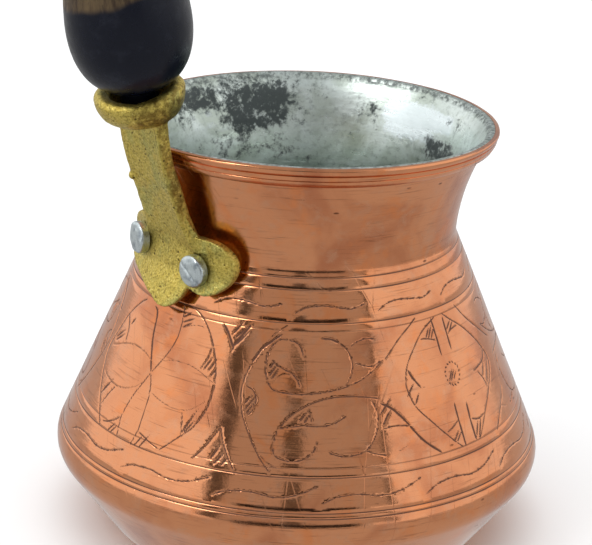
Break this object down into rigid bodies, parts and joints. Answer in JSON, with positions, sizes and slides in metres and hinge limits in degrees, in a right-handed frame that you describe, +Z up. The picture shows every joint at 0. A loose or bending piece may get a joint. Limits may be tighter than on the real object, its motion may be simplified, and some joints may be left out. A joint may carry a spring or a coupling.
{
  "type": "turkish coffee pot",
  "caption": "Engraved copper cezve with a flared rim, wide belly and tinned inside, a riveted cast brass bracket and an upright turned wooden handle",
  "frame": {"origin": "Centre of the pot's flat base, on the surface it stands on", "axes": "+Z up along the pot's axis; +X towards the side that carries the bracket and handle, whose middle plane is XZ; -Y is the left-hand side seen from the handle's side facing the pot"},
  "size_m": [0.1138, 0.0938, 0.1971],
  "materials": {
    "copper": "burnished copper, engraved, lightly scratched and stained",
    "tin": "wiped tin, mottled grey with dark stains",
    "brass_cast": "rough sand-cast brass, pitted, as cast",
    "rivet_aluminium": "hammered aluminium",
    "rod_steel": "plain steel",
    "grip_wood": "turned wood, black lacquer at the ends over an olive-brown middle",
    "brass_turned": "turned brass, dulled"
  },
  "bodies": {
    "root": {"pot_body": "copper", "tin_lining": "tin", "handle_bracket": "brass_cast", "rivet_left": "rivet_aluminium", "rivet_right": "rivet_aluminium", "handle_rod": "rod_steel", "handle_grip": "grip_wood", "end_washer": "brass_turned", "end_nut": "brass_turned"}
  },
  "joints": []
}
